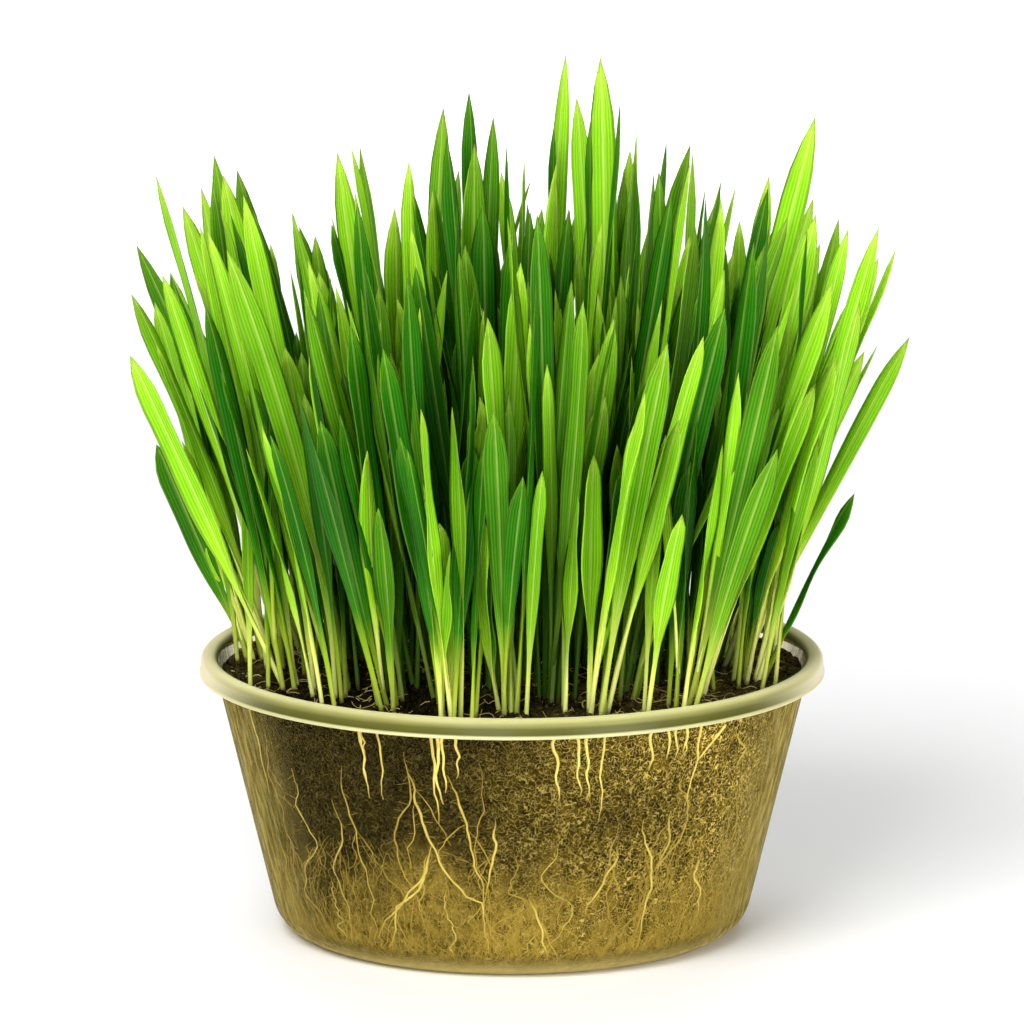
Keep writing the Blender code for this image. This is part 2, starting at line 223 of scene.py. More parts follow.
def close_tree(tree, geometry, finish):
    """The last nodes of every tree: plain geometry, smooth shading and its material."""
    real = add(tree, "GeometryNodeRealizeInstances", {"Geometry": geometry})
    smooth = add(tree, "GeometryNodeSetShadeSmooth", {"Geometry": real, "Shade Smooth": True})
    done = add(tree, "GeometryNodeSetMaterial", {"Geometry": smooth, "Material": finish})
    feed(tree.nodes.new("NodeGroupOutput"), {"Geometry": done})
    print(tree.name, "has", len(tree.nodes), "nodes")


# %% [markdown]
# A tree runs as a modifier on a start mesh. The result is kept as a plain mesh, because a
# finished piece should not depend on a live modifier.

# %% Helpers that make pieces
def piece_of(name, mesh):
    piece = bpy.data.objects.new(name, mesh)
    bpy.context.scene.collection.objects.link(piece)
    return piece


def grow(name, start_mesh, tree, **sizes):
    """Runs a tree on a start mesh and keeps the result as a plain mesh piece."""
    start = piece_of(name + "_start", start_mesh)
    modifier = start.modifiers.new(name, "NODES")
    modifier.node_group = tree
    for item in tree.interface.items_tree:
        if item.in_out == "INPUT" and item.name in sizes:
            modifier[item.identifier] = sizes[item.name]
    graph = bpy.context.evaluated_depsgraph_get()
    mesh = bpy.data.meshes.new_from_object(start.evaluated_get(graph))
    bpy.data.objects.remove(start)
    mesh.name = name
    piece = piece_of(name, mesh)
    print(name, len(mesh.polygons), "faces")
    return piece


# %% [markdown]
# Materials. Each one below is a Principled shader whose colour, roughness and bump come from
# small networks of noise and ramps. A picture could give the colours too, but noise has no
# seams and stays sharp close up. Colours are linear values, as shaders want them.

# %% Helpers for materials
def new_material(name):
    made = bpy.data.materials.new(name)
    made.use_nodes = True
    tree = made.node_tree
    return made, tree, tree.nodes["Principled BSDF"]


def object_point(tree, stretch=(1.0, 1.0, 1.0)):
    """Where on the pot a point is, in metres, perhaps stretched."""
    point = add(tree, "ShaderNodeTexCoord", out="Object")
    return add(tree, "ShaderNodeMapping", {"Vector": point, "Scale": stretch})


def from_axis(tree):
    """How far from the tub's axis a point is."""
    return object_point(tree, (1.0, 1.0, 0.0)).length()


def attribute(tree, name):
    return add(tree, "ShaderNodeAttribute", out="Fac", attribute_name=name)


def speckle(point, scale, detail=3.0, roughness=0.55, distortion=0.0):
    feeds = {"Vector": point, "Scale": scale, "Detail": detail}
    feeds |= {"Roughness": roughness, "Distortion": distortion}
    return add(point.tree, "ShaderNodeTexNoise", feeds, "Fac")


def ramp(value, *stops):
    """A colour ramp from (place, colour) stops."""
    colour = add(value.tree, "ShaderNodeValToRGB", {"Fac": value}, "Color")
    line = colour.socket.node.color_ramp.elements
    while len(line) < len(stops):
        line.new(0.5)
    for element, (place, shade) in zip(line, stops):
        element.position = place
        element.color = (*shade, 1.0)
    return colour


def blend(colour, share, other, blend_type="MIX"):
    """One colour with a share of another over it."""
    if isinstance(other, tuple):
        other = (*other, 1.0)
    feeds = {"Factor": share, 6: colour, 7: other}
    return add(colour.tree, "ShaderNodeMix", feeds, 2, data_type="RGBA", blend_type=blend_type)


def shaded(colour, light):
    return blend(colour, 1.0, light, "MULTIPLY")


def bump(shader, height, strength, distance):
    feeds = {"Height": height, "Strength": strength, "Distance": distance}
    feed(shader, {"Normal": add(height.tree, "ShaderNodeBump", feeds, "Normal")})


# %% [markdown]
# The grass blade. A wheat blade starts as a round pale stem, opens into a flat strip with a
# shallow fold down its middle, and ends in a point. Along it run fine parallel veins. The
# colour therefore depends on two numbers that the blade's mesh will carry: "along", from the
# foot to the tip, and "across", from one edge over the fold to the other. A third number,
# "tint", is drawn once for each blade, so that no two neighbours have quite the same green.
# Deep in the stand the stems are painted much darker than in its outer rows, as painted
# shade from the blades around them, and soil sticks to their feet. Both depend only on how
# far from the axis and how high a point is.

# %% Blade material
VEIN_PHASE = 26.0  # how far the vein wave runs from the fold to an edge, in radians
STAND_FOOT = 48 * MM  # the outermost stems' distance from the axis would be this at z = 0
STAND_SPREAD = 0.24  # and it grows by this share of the height
SOIL_EDGE_Z = 63.0 * MM
SOIL_MOUND = 3.0 * MM
SOIL_RADIUS = 68 * MM


def make_leaf_material():
    made, tree, shader = new_material("wheat_leaf")
    along, across, tint = (attribute(tree, name) for name in ("along", "across", "tint"))
    deep = ramp(
        along,
        (0.00, (0.60, 0.66, 0.10)), (0.16, (0.34, 0.48, 0.022)), (0.34, (0.020, 0.160, 0.001)),
        (0.60, (0.003, 0.088, 0.0002)), (0.88, (0.010, 0.115, 0.0004)), (1.00, (0.05, 0.18, 0.002)),
    )
    bright = ramp(
        along,
        (0.00, (0.94, 0.96, 0.34)), (0.20, (0.86, 0.92, 0.170)), (0.38, (0.34, 0.64, 0.015)),
        (0.60, (0.20, 0.52, 0.008)), (0.88, (0.23, 0.56, 0.011)), (1.00, (0.36, 0.58, 0.035)),
    )
    light = tint.ease(0.20, 0.80)
    cloud = speckle(object_point(tree, (1.0, 1.0, 0.25)), 130.0)
    colour = shaded(blend(deep, light, bright), cloud * 0.7 + 0.66)

    open_blade = along.ease(0.1, 0.35)
    vein = ((across * VEIN_PHASE).sine() * 0.5 + 0.5) * open_blade
    colour = shaded(colour, vein * 0.36 + 0.76)
    colour = blend(colour, vein * (light * 0.12 + 0.04), (0.30, 0.60, 0.015))
    off_middle = abs(across)
    midrib_and_edge = off_middle.ease(0.16, 0.02).at_least(off_middle.ease(0.86, 1.0))
    pale = midrib_and_edge * open_blade * (light * 0.30 + 0.18)
    colour = blend(colour, pale, (0.58, 0.72, 0.15))

    # Painted shade: low down and deep inside the stand, the colour is multiplied towards a dark green.
    height, reach = object_point(tree).part("Z"), from_axis(tree)
    depth = (height * STAND_SPREAD + STAND_FOOT - reach).ease(2.5 * MM, 20 * MM)
    inside = depth * height.ease(172 * MM, 88 * MM)
    colour = blend(colour, inside, (0.07, 0.17, 0.045), "MULTIPLY")
    mound = (reach / SOIL_RADIUS) ** 2.0 * -SOIL_MOUND + (SOIL_EDGE_Z + SOIL_MOUND)
    splash = speckle(object_point(tree), 900.0) * (-2.4 * MM) + (height - mound)
    colour = blend(colour, splash.ease(0.6 * MM, -0.9 * MM, 0.0, 0.85), (0.075, 0.045, 0.010))
    feed(shader, {"Base Color": colour, "Roughness": cloud * 0.22 + 0.46, "Specular IOR Level": 0.08})
    bump(shader, vein, 0.35, 0.12 * MM)
    return made


leaf_finish = make_leaf_material()
print(leaf_finish.name, "has", round(VEIN_PHASE / math.pi), "veins across")

# %% [markdown]
# A wheat blade leans, bends a little and turns about its own line. A quadratic curve through
# a foot, a bend and a tip gives the first two with only three points, and a facing angle
# with a twist gives the turn.

# %% The line of a blade
class Blade:
    """The line, width and facing of one blade. It is all that the finer mesh needs."""

    def __init__(self, foot, bend, tip, facing, twist, widest, stem, tint):
        self.foot, self.bend, self.tip = foot, bend, tip
        self.facing, self.twist = facing, twist
        self.widest, self.stem, self.tint = widest, stem, tint

    def at(self, t):
        return self.foot * (1 - t) ** 2 + self.bend * (2 * t * (1 - t)) + self.tip * (t * t)

    def side(self, t):
        """The direction across the blade."""
        slope = (self.bend - self.foot) * (1 - t) + (self.tip - self.bend) * t
        turn = self.facing + self.twist * t
        return slope.cross(Vector((math.cos(turn), math.sin(turn), 0.0))).normalized()

    def length(self):
        return (self.tip - self.foot).length


# %% [markdown]
# The solids hold each shoot as a coarse three-cornered tube with a ring of corners at four
# places along its length. Rather than guess new places, we read each shoot back: start at a
# tip (a corner high up with exactly three edges) and walk down ring by ring. The tip and the
# middles of two rings are enough to work out the two points that are hidden: the foot, which
# is inside its knot of kernels, and the bend.

# %% Read the shoots back from the solids
SEED = 7
RING_SHARES = (0.86, 0.7, 0.46, 0.22)  # where the rings lie along a shoot, from the top
HIGH, LOW = RING_SHARES[1], RING_SHARES[3]  # the two rings that give the curve
TIP_RISE = 35 * MM  # a shoot's tip is at least this far over its bunch's lowest point
STEM_HALF_WIDTH = 0.62 * MM
WIDER = 1.02  # a blade is a little wider between the rings than at them


def merged_copy(name):
    """A node's solid as a bmesh whose loose triangles share their corners again."""
    bm = bmesh.new()
    bm.from_mesh(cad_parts[name].data)
    bmesh.ops.remove_doubles(bm, verts=bm.verts, dist=0.005 * MM)
    return bm


def rings_under(tip):
    seen, level, rings = {tip}, {tip}, []
    for _ in RING_SHARES:
        level = {edge.other_vert(vert) for vert in level for edge in vert.link_edges} - seen
        seen |= level
        rings.append([vert.co.copy() for vert in level])
    return rings if all(len(ring) == 3 for ring in rings) else None


def section(ring):
    """Middle, facing angle and half width of a ring: its two edges are farthest apart."""
    pairs = [(0, 1, 2), (1, 2, 0), (2, 0, 1)]
    a, b, keel = max(pairs, key=lambda p: (ring[p[0]] - ring[p[1]]).length)
    middle = (ring[a] + ring[b]) / 2
    face = middle - ring[keel]
    return (middle + ring[keel]) / 2, math.atan2(face.y, face.x), (ring[a] - ring[b]).length / 2


def foot_and_bend(high, low, end):
    """Solves the quadratic curve that passes through two rings' middles and ends at end."""
    a, b = (1 - HIGH) ** 2, 2 * HIGH * (1 - HIGH)
    c, d = (1 - LOW) ** 2, 2 * LOW * (1 - LOW)
    first, second = high - end * HIGH**2, low - end * LOW**2
    scale = a * d - b * c
    return (first * d - second * b) / scale, (second * a - first * c) / scale


def read_shoot(tip, rings, tint):
    sections = [section(ring) for ring in rings]
    (high, high_turn, _), (low, low_turn, _) = sections[1], sections[3]
    foot, bend = foot_and_bend(high, low, tip)
    twist = math.remainder(high_turn - low_turn, math.tau) / (HIGH - LOW)
    widest = max(half_width for _, _, half_width in sections) * WIDER
    return Blade(foot, bend, tip, low_turn - LOW * twist, twist, widest, STEM_HALF_WIDTH, tint)


def read_bunch(name, rng):
    bm = merged_copy(name)
    floor = min(vert.co.z for vert in bm.verts)
    tips = [vert for vert in bm.verts if vert.co.z > floor + TIP_RISE and len(vert.link_edges) == 3]
    found = [(tip.co.copy(), rings_under(tip)) for tip in tips]
    bm.free()
    return [read_shoot(tip, rings, rng.random()) for tip, rings in found if rings]


bunch_rng = random.Random(SEED)
bunches = {name: read_bunch(name, bunch_rng) for name in BUNCH_NAMES}
main_blades = [blade for bunch in bunches.values() for blade in bunch]
print(len(main_blades), "shoots read,", min(len(b) for b in bunches.values()), "to",
      max(len(b) for b in bunches.values()), "in a bunch")

# %% [markdown]
# The real pot holds more shoots than the solids can. Two kinds are added here. Most full
# shoots have a second, younger leaf that slips out of the first one's stem and lags behind
# it. And between the bunches stand thin late shoots. Both are drawn with a fixed seed from
# the same Blade class, so one node tree will make them all.

# %% Younger leaves and late shoots
SOIL_LUMPS = 0.9 * MM
SOIL_INSET = 2.4 * MM
YOUNG_SHARE = 0.8  # how many of the full shoots have a younger leaf
YOUNG_START = (0.04, 0.16)  # how far up the shoot it slips out, as a share
YOUNG_LEAN = 0.085  # how far it strays from the shoot's own lean
YOUNG_RISE = (0.60, 0.92)  # its length, as a share of the shoot's
YOUNG_WIDTH = (0.66, 0.95)
LATE_SHOOTS = 240
LATE_FIELD = 66.5 * MM  # the late shoots stand no farther out than this
LATE_RISE = (62 * MM, 104 * MM, 86 * MM)  # least, most and likeliest
LATE_WIDTH = (1.5 * MM, 2.8 * MM)
LATE_LEAN = (0.04, 0.30)  # how far the outermost of them lean out for each metre of height
LATE_STRAY = 0.06  # and how far each strays from that
OUTER_RISE = 0.75  # the outermost are this share as tall
FOOT_DEPTH = 1.5 * MM  # how far under the soil a late shoot starts
FAN_REACH = 96 * MM  # an added leaf's tip stays within a fan of this reach
FAN_TOP = 212 * MM
FAN_DROP = 84 * MM  # the fan's edge is this much lower than its top


def soil_height(x, y):
    """The solid soil's surface: a low mound with lumps."""
    share = min(math.hypot(x, y) / wall_radius(SOIL_EDGE_Z, SOIL_INSET), 1.0)
    point = Vector((x, y, 0.0))
    lumps = noise.noise(point * 55.0) + 0.5 * noise.noise(point * 140.0)
    return SOIL_EDGE_Z + SOIL_MOUND * (1 - share * share) + SOIL_LUMPS * lumps * (1 - share**6)


def young_leaf(parent, rng):
    start = rng.uniform(*YOUNG_START)
    foot = parent.at(start)
    rise = parent.length() * rng.uniform(*YOUNG_RISE)
    lean = (parent.tip - parent.foot).normalized()
    lean += Vector((rng.gauss(0, YOUNG_LEAN), rng.gauss(0, YOUNG_LEAN), 0.0))
    tip = foot + lean.normalized() * rise
    bend = foot.lerp(tip, 0.5) + (parent.at(start + 0.35) - foot.lerp(tip, 0.45)) * 0.35
    facing = parent.facing + math.pi + rng.uniform(-0.9, 0.9)
    widest = parent.widest * rng.uniform(*YOUNG_WIDTH)
    return Blade(foot, bend, tip, facing, rng.uniform(-1, 1), widest, 0.5 * MM, rng.random())


def late_shoot(rng):
    radius = LATE_FIELD * math.sqrt(rng.random()) ** 1.25
    angle = rng.uniform(0, math.tau)
    x, y = radius * math.cos(angle), radius * math.sin(angle)
    foot = Vector((x, y, soil_height(x, y) - FOOT_DEPTH))
    share_out = radius / LATE_FIELD
    rise = rng.triangular(*LATE_RISE) * mix(1.0, OUTER_RISE, share_out**4)
    outward = Vector((x, y, 0.0)) / LATE_FIELD
    lean = outward * share_out * rng.uniform(*LATE_LEAN)
    lean += Vector((rng.gauss(0, LATE_STRAY), rng.gauss(0, LATE_STRAY), 0.0))
    tip = foot + lean * rise + Vector((0, 0, rise))
    bend = foot + lean * rise * 0.36 + Vector((0, 0, rise * 0.55))
    facing = angle + rng.uniform(-1.6, 1.6)
    widest = rng.uniform(*LATE_WIDTH)
    return Blade(foot, bend, tip, facing, rng.uniform(-1, 1), widest, 0.55 * MM, rng.random())


def in_fan(blade):
    reach = math.hypot(blade.tip.x, blade.tip.y) / FAN_REACH
    return reach < 1 and blade.tip.z < FAN_TOP - FAN_DROP * reach**6


extra_rng = random.Random(SEED + 1)
young_blades = [young_leaf(b, extra_rng) for b in main_blades if extra_rng.random() < YOUNG_SHARE]
late_blades = [late_shoot(extra_rng) for _ in range(LATE_SHOOTS)]
young_blades = [blade for blade in young_blades if in_fan(blade)]
late_blades = [blade for blade in late_blades if in_fan(blade)]
print(len(young_blades), "younger leaves and", len(late_blades), "late shoots")

# %% [markdown]
# One tree turns every blade's line into a leaf. Curve to Mesh sweeps an eight-sided circle
# along the line, which only serves as a ready-made grid of points: Set Position then puts
# each point where the leaf's own formula wants it. The formula needs the line's point and
# direction, and which way is sideways, so these are captured before the sweep. The circle's
# own point is captured too: its x says how far across the leaf a point is, and its y
# whether it is on the front or the back.

# %% The blade tree
RIPPLE_PHASE = 13.0  # how fast the ripple runs along a blade
RIPPLE_SHIFT = 40.0  # and how far it is shifted from blade to blade


def make_blade_tree(finish):
    tree, sizes = new_tree(
        "grass_blade", Rings=21, Opens=0.18, Opened=0.61, PointFrom=0.85, PointPower=1.9,
        HalfThickness=0.17 * MM, Fold=0.9 * MM, Ripple=0.5 * MM,
    )
    line = add(tree, "GeometryNodeMeshToCurve", {"Mesh": sizes["Geometry"]})
    line = add(tree, "GeometryNodeCurveSplineType", {"Curve": line}, spline_type="CATMULL_ROM")
    line = add(tree, "GeometryNodeResampleCurve", {"Curve": line, "Count": sizes["Rings"]}, mode="COUNT")
    position = add(tree, "GeometryNodeInputPosition")
    line, held = capture(
        tree, line,
        centre=position, tangent=add(tree, "GeometryNodeInputTangent"),
        side=named(tree, "side", "FLOAT_VECTOR"),
        along=add(tree, "GeometryNodeSplineParameter", out="Factor"),
        widest=named(tree, "widest"), stem=named(tree, "stem"), tint=named(tree, "tint"),
    )
    circle = add(tree, "GeometryNodeCurvePrimitiveCircle", {"Resolution": 8, "Radius": 1.0})
    circle, ring = capture(tree, circle, place=position)
    feeds = {"Curve": line, "Profile Curve": circle, "Fill Caps": True}
    swept = add(tree, "GeometryNodeCurveToMesh", feeds)

    x, y = ring["place"].part("X"), ring["place"].part("Y")
    along, tangent = held["along"], held["tangent"]
    normal = held["side"].cross(tangent).unit()
    side = tangent.cross(normal)
    into_point = (along - sizes["PointFrom"]).at_least(0.0) / (1.0 - sizes["PointFrom"])
    left = 1.0 - into_point ** sizes["PointPower"]
    opened = along.ease(sizes["Opens"], sizes["Opened"])
    flat = along.ease(0.04, 0.34)
    width = mix(held["stem"], held["widest"], opened) * left
    thickness = mix(held["stem"], sizes["HalfThickness"], flat)
    fold = (abs(x) - 0.5) * sizes["Fold"] * flat
    ripple = (held["tint"] * RIPPLE_SHIFT + along * RIPPLE_PHASE).sine() * sizes["Ripple"] * flat * x
    out = (thickness * y + fold + ripple) * left
    place = held["centre"].plus(side.scaled(width * x)).plus(normal.scaled(out))
    leaf = add(tree, "GeometryNodeSetPosition", {"Geometry": swept, "Position": place})
    leaf = store(tree, leaf, along=along, across=x, tint=held["tint"])
    leaf = add(tree, "GeometryNodeMergeByDistance", {"Geometry": leaf, "Distance": 0.01 * MM})
    close_tree(tree, leaf, finish)
    return tree


blade_tree = make_blade_tree(leaf_finish)

# %% [markdown]
# The start mesh for the tree is only a set of lines: seven points for each blade, with the
# sideways direction and the blade's sizes written on the points as attributes. The roots
# will use the same kind of start mesh, so its helper takes any lines with any values.

# %% Lines for the blades, and the leaves themselves
LINE_POINTS = 7


def line_mesh(name, lines):
    """A mesh of bare lines from (points, values) pairs, with a list for each value's name."""
    places, edges, held = [], [], {}
    for points, values in lines:
        first = len(places)
        places += points
        edges += [(first + i, first + i + 1) for i in range(len(points) - 1)]
        for label, numbers in values.items():
            held.setdefault(label, []).extend(numbers)
    mesh = bpy.data.meshes.new(name)
    mesh.from_pydata(places, edges, [])
    for label, numbers in held.items():
        if isinstance(numbers[0], Vector):
            flat = [part for vector in numbers for part in vector]
            mesh.attributes.new(label, "FLOAT_VECTOR", "POINT").data.foreach_set("vector", flat)
        else:
            mesh.attributes.new(label, "FLOAT", "POINT").data.foreach_set("value", numbers)
    return mesh


def blade_line(blade):
    along = shares(LINE_POINTS - 1)
    values = {label: [getattr(blade, label)] * LINE_POINTS for label in ("widest", "stem", "tint")}
    return [blade.at(t) for t in along], {"side": [blade.side(t) for t in along], **values}


def leaves(name, blades, **sizes):
    return grow(name, line_mesh(name + "_lines", map(blade_line, blades)), blade_tree, **sizes)


main_leaves = leaves("wheat_blades", main_blades)
young_leaves = leaves("young_blades", young_blades, Fold=0.6 * MM)
late_leaves = leaves("late_shoots", late_blades, Fold=0.5 * MM, Rings=15)

# %% [markdown]
# The tub's wall is thin clear plastic, and behind it lie wet soil and roots. Glass with
# refraction would be one way to make it, but it renders slowly and bends the roots out of
# shape. So the wall is a mix: mostly see-through and faintly yellow, with a weak shine, and
# with a streaked golden haze where it is seen edge on and where roots are matted at the foot.
# At the foot that haze is also made brighter, as painted light against the round corner's shade.

# %% Tub material: the clear wall
def grazing_angle(tree):
    """From 0 where a surface faces the viewer to 1 where it is seen edge on."""
    return add(tree, "ShaderNodeLayerWeight", {"Blend": 0.5}, "Facing")


def make_clear_material():
    made, tree, shader = new_material("clear_wall")
    streaks = speckle(object_point(tree, (1.0, 1.0, 0.10)), 560.0)
    colour = ramp(
        streaks,
        (0.36, (0.17, 0.127, 0.026)), (0.50, (0.27, 0.210, 0.053)), (0.64, (0.42, 0.34, 0.12)),
    )
    # The golden haze at the foot is partly matted roots and partly painted light: it is bright enough to
    # cancel the shade at the round corner.
    foot = object_point(tree).part("Z").ease(6.5 * MM, 0.5 * MM) * 0.8
    colour = blend(colour, foot, (0.62, 0.49, 0.17))
    feed(shader, {"Base Color": colour, "Roughness": 0.6, "Specular IOR Level": 0.0})
    see = add(tree, "ShaderNodeBsdfTransparent", {"Color": (0.975, 0.945, 0.79, 1.0)})
    shine = add(tree, "ShaderNodeBsdfGlossy", {"Color": (0.9, 0.82, 0.55, 1.0), "Roughness": 0.1})
    grazing = grazing_angle(tree)
    clear = add(tree, "ShaderNodeMixShader", {0: grazing**4.0 * 0.05 + 0.003, 1: see, 2: shine})
    haze = grazing.ease(0.40, 0.95, 0.012, 0.95) * streaks.ease(0.38, 0.60, 0.65, 1.0)
    feeds = {0: haze.at_least(foot), 1: clear, 2: Field(shader.outputs[0])}
    feed(tree.nodes["Material Output"], {"Surface": add(tree, "ShaderNodeMixShader", feeds)})
    return made


clear_finish = make_clear_material()
print(clear_finish.name, "has", len(clear_finish.node_tree.nodes), "nodes")

# %% [markdown]
# The rolled rim looks milky where the plastic doubles. Over that, soft bands by height paint
# its light and shade: a painted highlight on the pale lower lip and along the top of the roll,
# and a painted shadow in the darker band under the roll. One colour ramp from the rim's lower
# edge to its top draws them all. Inside the roll the plastic is painted dark, as painted shade.

# %% Tub material: the rolled rim
SKIRT_DROP = 4.8 * MM  # height of the rolled rim
# Painted shade: nearer to the axis than ROLL_INSIDE, the inside of the roll is painted dark brown.
ROLL_INSIDE = RIM_RADIUS - 3.2 * MM  # nearer to the axis than this, the rim looks brown


def make_rim_material():
    made, tree, shader = new_material("rolled_rim")
    share = (object_point(tree).part("Z") - (TUB_HEIGHT - SKIRT_DROP)) / SKIRT_DROP
    # Painted light and shade by height: a highlight on the lower lip, a dark shadow band under the roll
    # and a highlight along its top.
    colour = ramp(
        share,
        (0.00, (0.52, 0.50, 0.25)), (0.13, (0.48, 0.46, 0.22)), (0.22, (0.068, 0.068, 0.008)),
        (0.52, (0.088, 0.088, 0.012)), (0.76, (0.25, 0.24, 0.075)), (0.94, (0.50, 0.48, 0.21)),
    )
    cloud = speckle(object_point(tree), 90.0)
    colour = shaded(colour, cloud * 0.3 + 0.85)
    # Painted shade on the inside of the roll, where it faces into the tub.
    inside_shade = from_axis(tree).ease(ROLL_INSIDE, ROLL_INSIDE - 1.2 * MM, 0.0, 0.9)
    colour = blend(colour, inside_shade, (0.10, 0.09, 0.025))
    milky = grazing_angle(tree).ease(0.32, 0.85, 0.0, 0.9) * (1.0 - inside_shade)
    colour = blend(colour, milky, (0.80, 0.72, 0.42))
    feed(shader, {
        "Base Color": colour, "Roughness": 0.32, "Specular IOR Level": 0.14,
        "Coat Weight": 0.06, "Coat Roughness": 0.2,
    })
    bump(shader, cloud, 0.05, 0.2 * MM)
    return made


rim_finish = make_rim_material()
print(rim_finish.name, "bands over", round(SKIRT_DROP / MM, 1), "mm")

# %% [markdown]
# The tub itself is one thin moulding. Its section is drawn once, from the middle of the floor
# out over the corner, up the wall, over the rolled rim and back down inside, and spun round
# the axis. The mesh has both materials, and each face takes one of them by its height.

# %% Spin the tub
TUB_SIDES = 144
RIM_STARTS = 62.0 * MM
SKIRT_LIP = 0.3 * MM
SHARP_ANGLE = math.radians(40)


def mesh_of(bm, name):
    mesh = bpy.data.meshes.new(name)
    bm.to_mesh(mesh)
    bm.free()
    return mesh


def spun(profile, sides):
    bm = bmesh.new()
    line = [bm.verts.new((r, 0.0, z)) for r, z in profile]
    edges = [bm.edges.new(pair) for pair in zip(line, line[1:])]
    bmesh.ops.spin(
        bm, geom=line + edges, cent=(0, 0, 0), axis=(0, 0, 1),
        angle=math.tau, steps=sides, use_merge=True,
    )
    bmesh.ops.remove_doubles(bm, verts=bm.verts, dist=0.01 * MM)
    bmesh.ops.dissolve_degenerate(bm, edges=bm.edges, dist=0.001 * MM)
    bmesh.ops.recalc_face_normals(bm, faces=bm.faces)
    return bm


def tub_profile():
    """The whole section, closed through the floor: outside, rolled rim, inside."""
    lip_r = RIM_RADIUS - SKIRT_LIP
    roll_r = (lip_r + wall_radius(TUB_HEIGHT - 2 * MM, WALL)) / 2
    roll = lip_r - roll_r
    roll_z = TUB_HEIGHT - roll
    skirt_z = TUB_HEIGHT - SKIRT_DROP
    outside = inset_profile(0.0, roll_z, steps=14)
    under = arc((roll_r, roll_z), roll - WALL, 180, 0, steps=10)
    lip = arc((lip_r, skirt_z + SKIRT_LIP), SKIRT_LIP, -90, 60, steps=5)
    skirt = [(roll_r + roll - WALL, skirt_z), *lip, (lip_r, skirt_z + 3 * SKIRT_LIP)]
    over = arc((roll_r, roll_z), roll, 0, 180, steps=16)
    inside = inset_profile(WALL, roll_z, steps=12)
    return [*outside[:-1], *under, *skirt, *over, *reversed(inside[:-1])]


def make_tub():
    bm = spun(tub_profile(), TUB_SIDES)
    for face in bm.faces:
        face.material_index = 1 if face.calc_center_median().z > RIM_STARTS else 0
    mesh = mesh_of(bm, "tub_moulding")
    mesh.shade_smooth()
    mesh.set_sharp_from_angle(angle=SHARP_ANGLE)
    mesh.materials.append(clear_finish)
    mesh.materials.append(rim_finish)
    return piece_of("tub_moulding", mesh)


tub = make_tub()
print("tub_moulding", len(tub.data.polygons), "faces")

# %% [markdown]
# The soil. Seen through the wall it is a dense felt of dark crumbs and short curly fibres,
# with a golden haze of fine roots towards the foot. Modelling each fibre would take millions
# of faces, so the material draws them: a ridge of noise, where the value is close to one
# half, makes thin winding lines.

# %% Soil material
DAMP_SPOT = (-38 * MM, -46 * MM, 44 * MM)  # the soil is darkest behind this part of the wall
ROOT_FAN = (-20 * MM, -57 * MM, 15 * MM)  # and fine roots are thick round this one


def ridge(value, width):
    """Thin lines where a noise is close to one half."""
    return abs(value - 0.5).ease(width, 0.0)


def make_soil_material():
    made, tree, shader = new_material("potting_soil")
    point = object_point(tree)
    height = point.part("Z")
    crumb = speckle(point, 420.0, 5.0, 0.7)
    colour = ramp(
        crumb,
        (0.34, (0.008, 0.005, 0.001)), (0.50, (0.060, 0.041, 0.006)), (0.68, (0.20, 0.150, 0.032)),
    )
    curls = ridge(speckle(point, 760.0, 0.5, 0.5, 0.5), 0.038)
    curls = curls.at_least(ridge(speckle(point.plus((0.3, 0.1, 0.2)), 900.0, 0.5), 0.034))
    buried = height.ease(SOIL_EDGE_Z, SOIL_EDGE_Z - 1.5 * MM)
    colour = blend(colour, curls * (buried * 0.55 + 0.30), (0.86, 0.72, 0.33))

    patches = speckle(point, 34.0, 2.0).ease(0.30, 0.72, 0.55, 1.35)
    dry = point.distance(DAMP_SPOT).ease(14 * MM, 92 * MM, 0.13, 1.20)
    # Painted shade: on the soil's top, and so on the crumbs, the colour is multiplied by 0.6 as the
    # shade under the stems. The side keeps its full colour.
    colour = shaded(colour, patches * dry * (buried * 0.4 + 0.6))

    drift = speckle(object_point(tree, (1.0, 1.0, 0.5)), 60.0, 3.0, 0.6)
    haze = (height - (drift - 0.5) * 0.075).ease(26 * MM, 1 * MM)
    fan = (point.distance(ROOT_FAN) + drift * (20 * MM)).ease(32 * MM, 14 * MM, 0.0, 0.75)
    haze = haze.at_least(fan)
    threads = speckle(object_point(tree, (1.0, 1.0, 0.35)), 560.0, 3.0, 0.7)
    gold = ramp(threads, (0.34, (0.160, 0.115, 0.016)), (0.62, (0.42, 0.325, 0.095)))
    colour = blend(colour, haze * threads.ease(0.36, 0.56, 0.45, 0.92), gold)
    colour = blend(colour, curls * haze * 0.55, (0.72, 0.61, 0.30))
    feed(shader, {"Base Color": colour, "Roughness": 0.95, "Specular IOR Level": 0.02})
    bump(shader, curls * 0.4 + crumb, 0.9, 0.5 * MM)
    return made


soil_finish = make_soil_material()
print(soil_finish.name, "has", len(soil_finish.node_tree.nodes), "nodes")

# %% [markdown]
# The plug of soil is one closed mesh, spun like the tub. On top the soil is loose and lumpy,
# so the top's points are raised by noise, and the side's are pushed in and out a little.

# %% The soil plug
PLUG_INSET = 1.4 * MM  # the fine soil reaches nearer to the wall than the coarse solid does
PLUG_SIDES = 192
PLUG_RINGS = 34  # up the wall, and again from the edge of the top to its middle
CRUMBLE = 0.9 * MM
SIDE_DENTS = 0.22 * MM


def plug_height(x, y):
    coarse = noise.noise(Vector((x, y, 0.003)) * 300.0)
    fine = noise.noise(Vector((x, y, 0.0)) * 700.0)
    return soil_height(x, y) + CRUMBLE * (coarse + 0.6 * fine)


